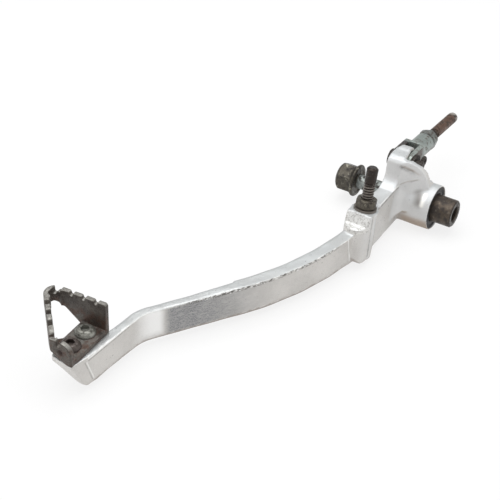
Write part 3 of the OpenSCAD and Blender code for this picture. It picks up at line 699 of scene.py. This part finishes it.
def threaded_pin(name, node, axis, radius, pitch, thread, chamfer, finish):
    """A pin with a helical thread along the CAD node's own axis and length, standing for that node. The
    thread runs between two distances back from the tip, and the sizes are in millimetres."""
    source = read_vectors(frame["nodes"][node].data.vertices, "co")
    axis = Vector(axis).normalized()
    along = source @ np.array(axis)
    middle = Vector(((source.max(axis=0) + source.min(axis=0)) / 2).tolist())
    base = middle + axis * (along.min() - middle.dot(axis))
    length = float(along.max() - along.min())
    tree = screw_thread_tree()
    blank = in_scene(name + "_blank", bpy.data.meshes.new(name + "_blank"))
    wrap = blank.modifiers.new("thread", "NODES")
    wrap.node_group = tree
    keys = {item.name: item.identifier for item in tree.interface.items_tree if item.in_out == "INPUT"}
    sizes = {
        "Radius": radius * MM,
        "Length": length,
        "Pitch": pitch * MM,
        "Thread start": length - thread[0] * MM,
        "Thread end": length - thread[1] * MM,
        "Chamfer": chamfer * MM,
        "Place": tuple(base),
        "Turn": tuple(Vector((0, 0, 1)).rotation_difference(axis).to_euler()),
        "Finish": finish,
    }
    for label, value in sizes.items():
        wrap[keys[label]] = value
    mesh = finished_mesh(blank, name)
    outward(mesh, mesh)
    piece = in_scene(name, mesh)
    stand_for(piece, node)


# Pieces that show more of their shape than the solids do
seal_profile = [
    (11.5, -2.5), (11.58, -2.2), (11.58, -0.75), (11.4, -0.5), (11.0, -0.45), (10.7, -0.6), (10.5, -0.95),
    (10.2, -1.1), (9.7, -1.0), (9.2, -0.6), (8.7, -0.4), (8.2, -0.42), (7.8, -0.65), (7.62, -1.0),
    (7.6, -2.0), (7.8, -2.5),
]

# The bolt's shank and the face of its flange stay crisp from here on, in millimetres
BOLT_CRISP_FROM_Y = -46.4
skins = {
    "lever": skin("lever", 0.5, 2, machined, forging_marks, lower_edge),
    "inboard_seal": lathe("inboard_seal_ring", "inboard_seal", seal_profile),
    "toe_claw": skin("toe_claw", 0.28, 7, shape=claw_marks),
    "clevis_fork": skin("clevis_fork", 0.3, 3),
    "pivot_bolt": skin("pivot_bolt", 0.25, 6, lambda places: places[:, 1] > BOLT_CRISP_FROM_Y * MM),
    "adjuster_nut": skin("adjuster_nut", 0.25, 3),
    "rod_nut": skin("rod_nut", 0.25, 3),
}

finishes = {
    "lever": forged_aluminium(),
    "toe_claw": claw_steel(),
    "inboard_seal": seal_rubber(),
    # Turned steel, oiled and browned: a dark satin sleeve with a darker end face
    "pivot_collar": aged_steel(
        "collar_steel", "554c43", "342d28", "857d71",
        rough=0.34, metallic=0.75, rust=0.75, patch_mm=4, seed=1.0,
        zones=[("3c3732", ("Y", 10.2, 10.9))]),
    # Blackened head with brown dirt, and a shank that kept its pale zinc
    "pivot_bolt": aged_steel(
        "bolt_steel", "504c44", "2a2521", "aaa798",
        rough=0.34, metallic=0.7, rust=0.6, patch_mm=3.4, seed=2.0,
        zones=[("9aa09d", ("Y", -45.75, -45.35))]),
    # Button head left to rust: dark brown and dull
    "front_claw_screw": aged_steel(
        "rusty_screw_steel", "544c48", "352b27", "7d7774",
        rough=0.42, metallic=0.6, rust=0.5, patch_mm=2, seed=3.0),
    # Button head rubbed by the boot: pale worn steel
    "rear_claw_screw": aged_steel(
        "worn_screw_steel", "8f8f88", "4d4b45", "bdbdb6",
        rough=0.36, metallic=0.65, rust=0.6, patch_mm=1.6, seed=4.0),
    # Blackened set pin with oil: nearly black grooves under lighter rubbed crests
    "adjuster_screw": aged_steel(
        "adjuster_steel", "352e2a", "1d1917", "7a726b",
        rough=0.28, metallic=0.7, rust=0.4, patch_mm=2, seed=5.0,
        crests=((44.24, -22.65, 5.45), (35.9, -22.65, 44.6), 3.0, 30.5, "7d766f")),
    # Yellow passivated zinc gone brown
    "adjuster_nut": aged_steel(
        "passivated_nut_zinc", "5f5a50", "342d28", "9a9486",
        rough=0.4, metallic=0.65, rust=0.65, patch_mm=1.8, seed=6.0),
    # Clear zinc: pale green grey, darker toward the rod, with painted shade below and, with grease, at the
    # near cheek's front end, dark brown on the near cheek's outer face, and a painted highlight on the near
    # cheek's top face
    "clevis_fork": aged_steel(
        "clevis_zinc", "9ba5a1", "5d5650", "bcc5c1",
        rough=0.34, metallic=0.7, rust=0.45, patch_mm=2.2, seed=7.0,
        zones=[
            ("7c807d", ("X", -15, -10)),
            ("2e2a27", ("X", -28.2, -28.9)),
            # Painted shade with grease at the near cheek's front end
            ("4a4848", ("Y", -17, -19), ("X", -13.5, -11.5)),
            # Dark brown on the near cheek's outer face: partly painted shade, partly rust
            ("4e433c", ("facing Y", 0.55, 0.9), ("X", -13, -9)),
            # Painted shade on faces turned down
            ("6b665f", ("facing Z", 0.1, -0.5)),
            # Painted highlight on the near cheek's top face
            ("a9b3ae", ("facing Z", 0.5, 0.8), ("Y", -19.4, -18.6), ("X", -16, -13)),
        ]),
    # Clear zinc with more dirt than the fork's
    "rod_nut": aged_steel(
        "rod_nut_zinc", "7f8481", "4a423b", "aab0ac",
        rough=0.36, metallic=0.7, rust=0.6, patch_mm=2.2, seed=7.6),
    # Bare steel gone dark and dull
    "clevis_pin": aged_steel(
        "rusted_pin_steel", "3d3834", "241d19", "655c53",
        rough=0.5, metallic=0.45, rust=0.5, patch_mm=2, seed=8.0),
    # Brown rust on the rod, darker by the nut, with a bare grey end
    "push_rod": aged_steel(
        "rusted_rod_steel", "5f4638", "352b25", "8b7c71",
        rough=0.5, metallic=0.35, rust=0.6, patch_mm=2.6, seed=9.0,
        zones=[("443c36", ("X", -44, -40)), ("a8a49e", ("X", -63.5, -67.5))]),
    # Sintered bronze, oiled: a warm brown yellow
    "inboard_bush": aged_steel(
        "bush_bronze", "8f7448", "5a4830", "b39a66",
        rough=0.35, metallic=0.8, rust=0.3, patch_mm=3, seed=10.0),
}
shared = {
    "outboard_seal": "inboard_seal",
    "outboard_bush": "inboard_bush",
    "adjuster_washer": "adjuster_screw",
    "clevis_washer": "clevis_pin",
    "cotter_pin": "clevis_pin",
}

# The adjuster's thread is drawn coarser than its true 1 mm pitch, so that it shows
threaded_pin("adjuster_pin", "adjuster_screw", axis=(-0.2079, 0, 0.9781), radius=3.0, pitch=1.45,
             thread=(19.2, 8.4), chamfer=0.9, finish=finishes["adjuster_screw"])
for name, piece in skins.items():
    piece.data.materials.append(finishes[shared.get(name, name)])
for name, node in frame["nodes"].items():
    for slot in node.material_slots:
        slot.link = "OBJECT"
        slot.material = finishes[shared.get(name, name)]


# Studio: a pale floor that looks nearly white to the camera and in gloss, and keeps the pedal's shadow
FLOOR_Z = -12.4 * MM
FLOOR_HALF = 12.0
FLOOR_GLOW = 0.8
WHITE = (1, 1, 1, 1)
corners = [(x * FLOOR_HALF, y * FLOOR_HALF, FLOOR_Z) for x, y in ((-1, -1), (1, -1), (1, 1), (-1, 1))]
floor_mesh = bpy.data.meshes.new("studio_floor")
floor_mesh.from_pydata(corners, [], [(0, 1, 2, 3)])
floor = in_scene("studio_floor", floor_mesh)
floor_finish = bpy.data.materials.new("floor_paper")
floor_finish.use_nodes = True
paper = floor_finish.node_tree
paper.nodes.clear()
matte = add(paper, "ShaderNodeBsdfDiffuse", {"Color": linear("ececec")})
glow = add(paper, "ShaderNodeEmission", {"Color": WHITE, "Strength": 1.0})
seen = add(paper, "ShaderNodeLightPath").outputs
looked_at = fold(paper, "MAXIMUM", seen["Is Camera Ray"], seen["Is Glossy Ray"])
lit_paper = add(paper, "ShaderNodeMixShader", {
    0: times(paper, looked_at, FLOOR_GLOW), 1: matte.outputs["BSDF"], 2: glow.outputs["Emission"]})
add(paper, "ShaderNodeOutputMaterial", {"Surface": lit_paper.outputs["Shader"]})
floor_mesh.materials.append(floor_finish)

# Surround: white to the camera, and a softer grey white as light on the pedal
world = bpy.data.worlds.new("studio_surround")
world.use_nodes = True
bpy.context.scene.world = world
air = world.node_tree
air.nodes.clear()
soft = add(air, "ShaderNodeBackground", {"Color": linear("f4f4f4"), "Strength": 0.55})
white = add(air, "ShaderNodeBackground", {"Color": WHITE, "Strength": 1.0})
ray = add(air, "ShaderNodeLightPath").outputs
surround = add(air, "ShaderNodeMixShader", {
    0: ray["Is Camera Ray"], 1: soft.outputs["Background"], 2: white.outputs["Background"]})
add(air, "ShaderNodeOutputWorld", {"Surface": surround.outputs["Shader"]})


def softbox(name, place, aim, size, watts):
    """A rectangular area light at place, facing aim."""
    light = bpy.data.lights.new(name, "AREA")
    light.shape = "RECTANGLE"
    light.size, light.size_y = size
    light.energy = watts
    lamp = in_scene(name, light)
    lamp.location = place
    lamp.rotation_euler = (Vector(aim) - Vector(place)).to_track_quat("-Z", "Y").to_euler()


PEDAL_MIDDLE = (0.1, -0.04, 0.0)
softbox("overhead_softbox", (0.05, -0.15, 0.75), PEDAL_MIDDLE, (0.9, 0.7), 5.5)
softbox("left_softbox", (0.85, -0.6, 0.5), PEDAL_MIDDLE, (1.5, 1.3), 3.0)
softbox("right_fill", (-0.2, 0.7, 0.35), PEDAL_MIDDLE, (0.5, 0.5), 1.5)

bpy.context.scene.view_settings.view_transform = "Standard"
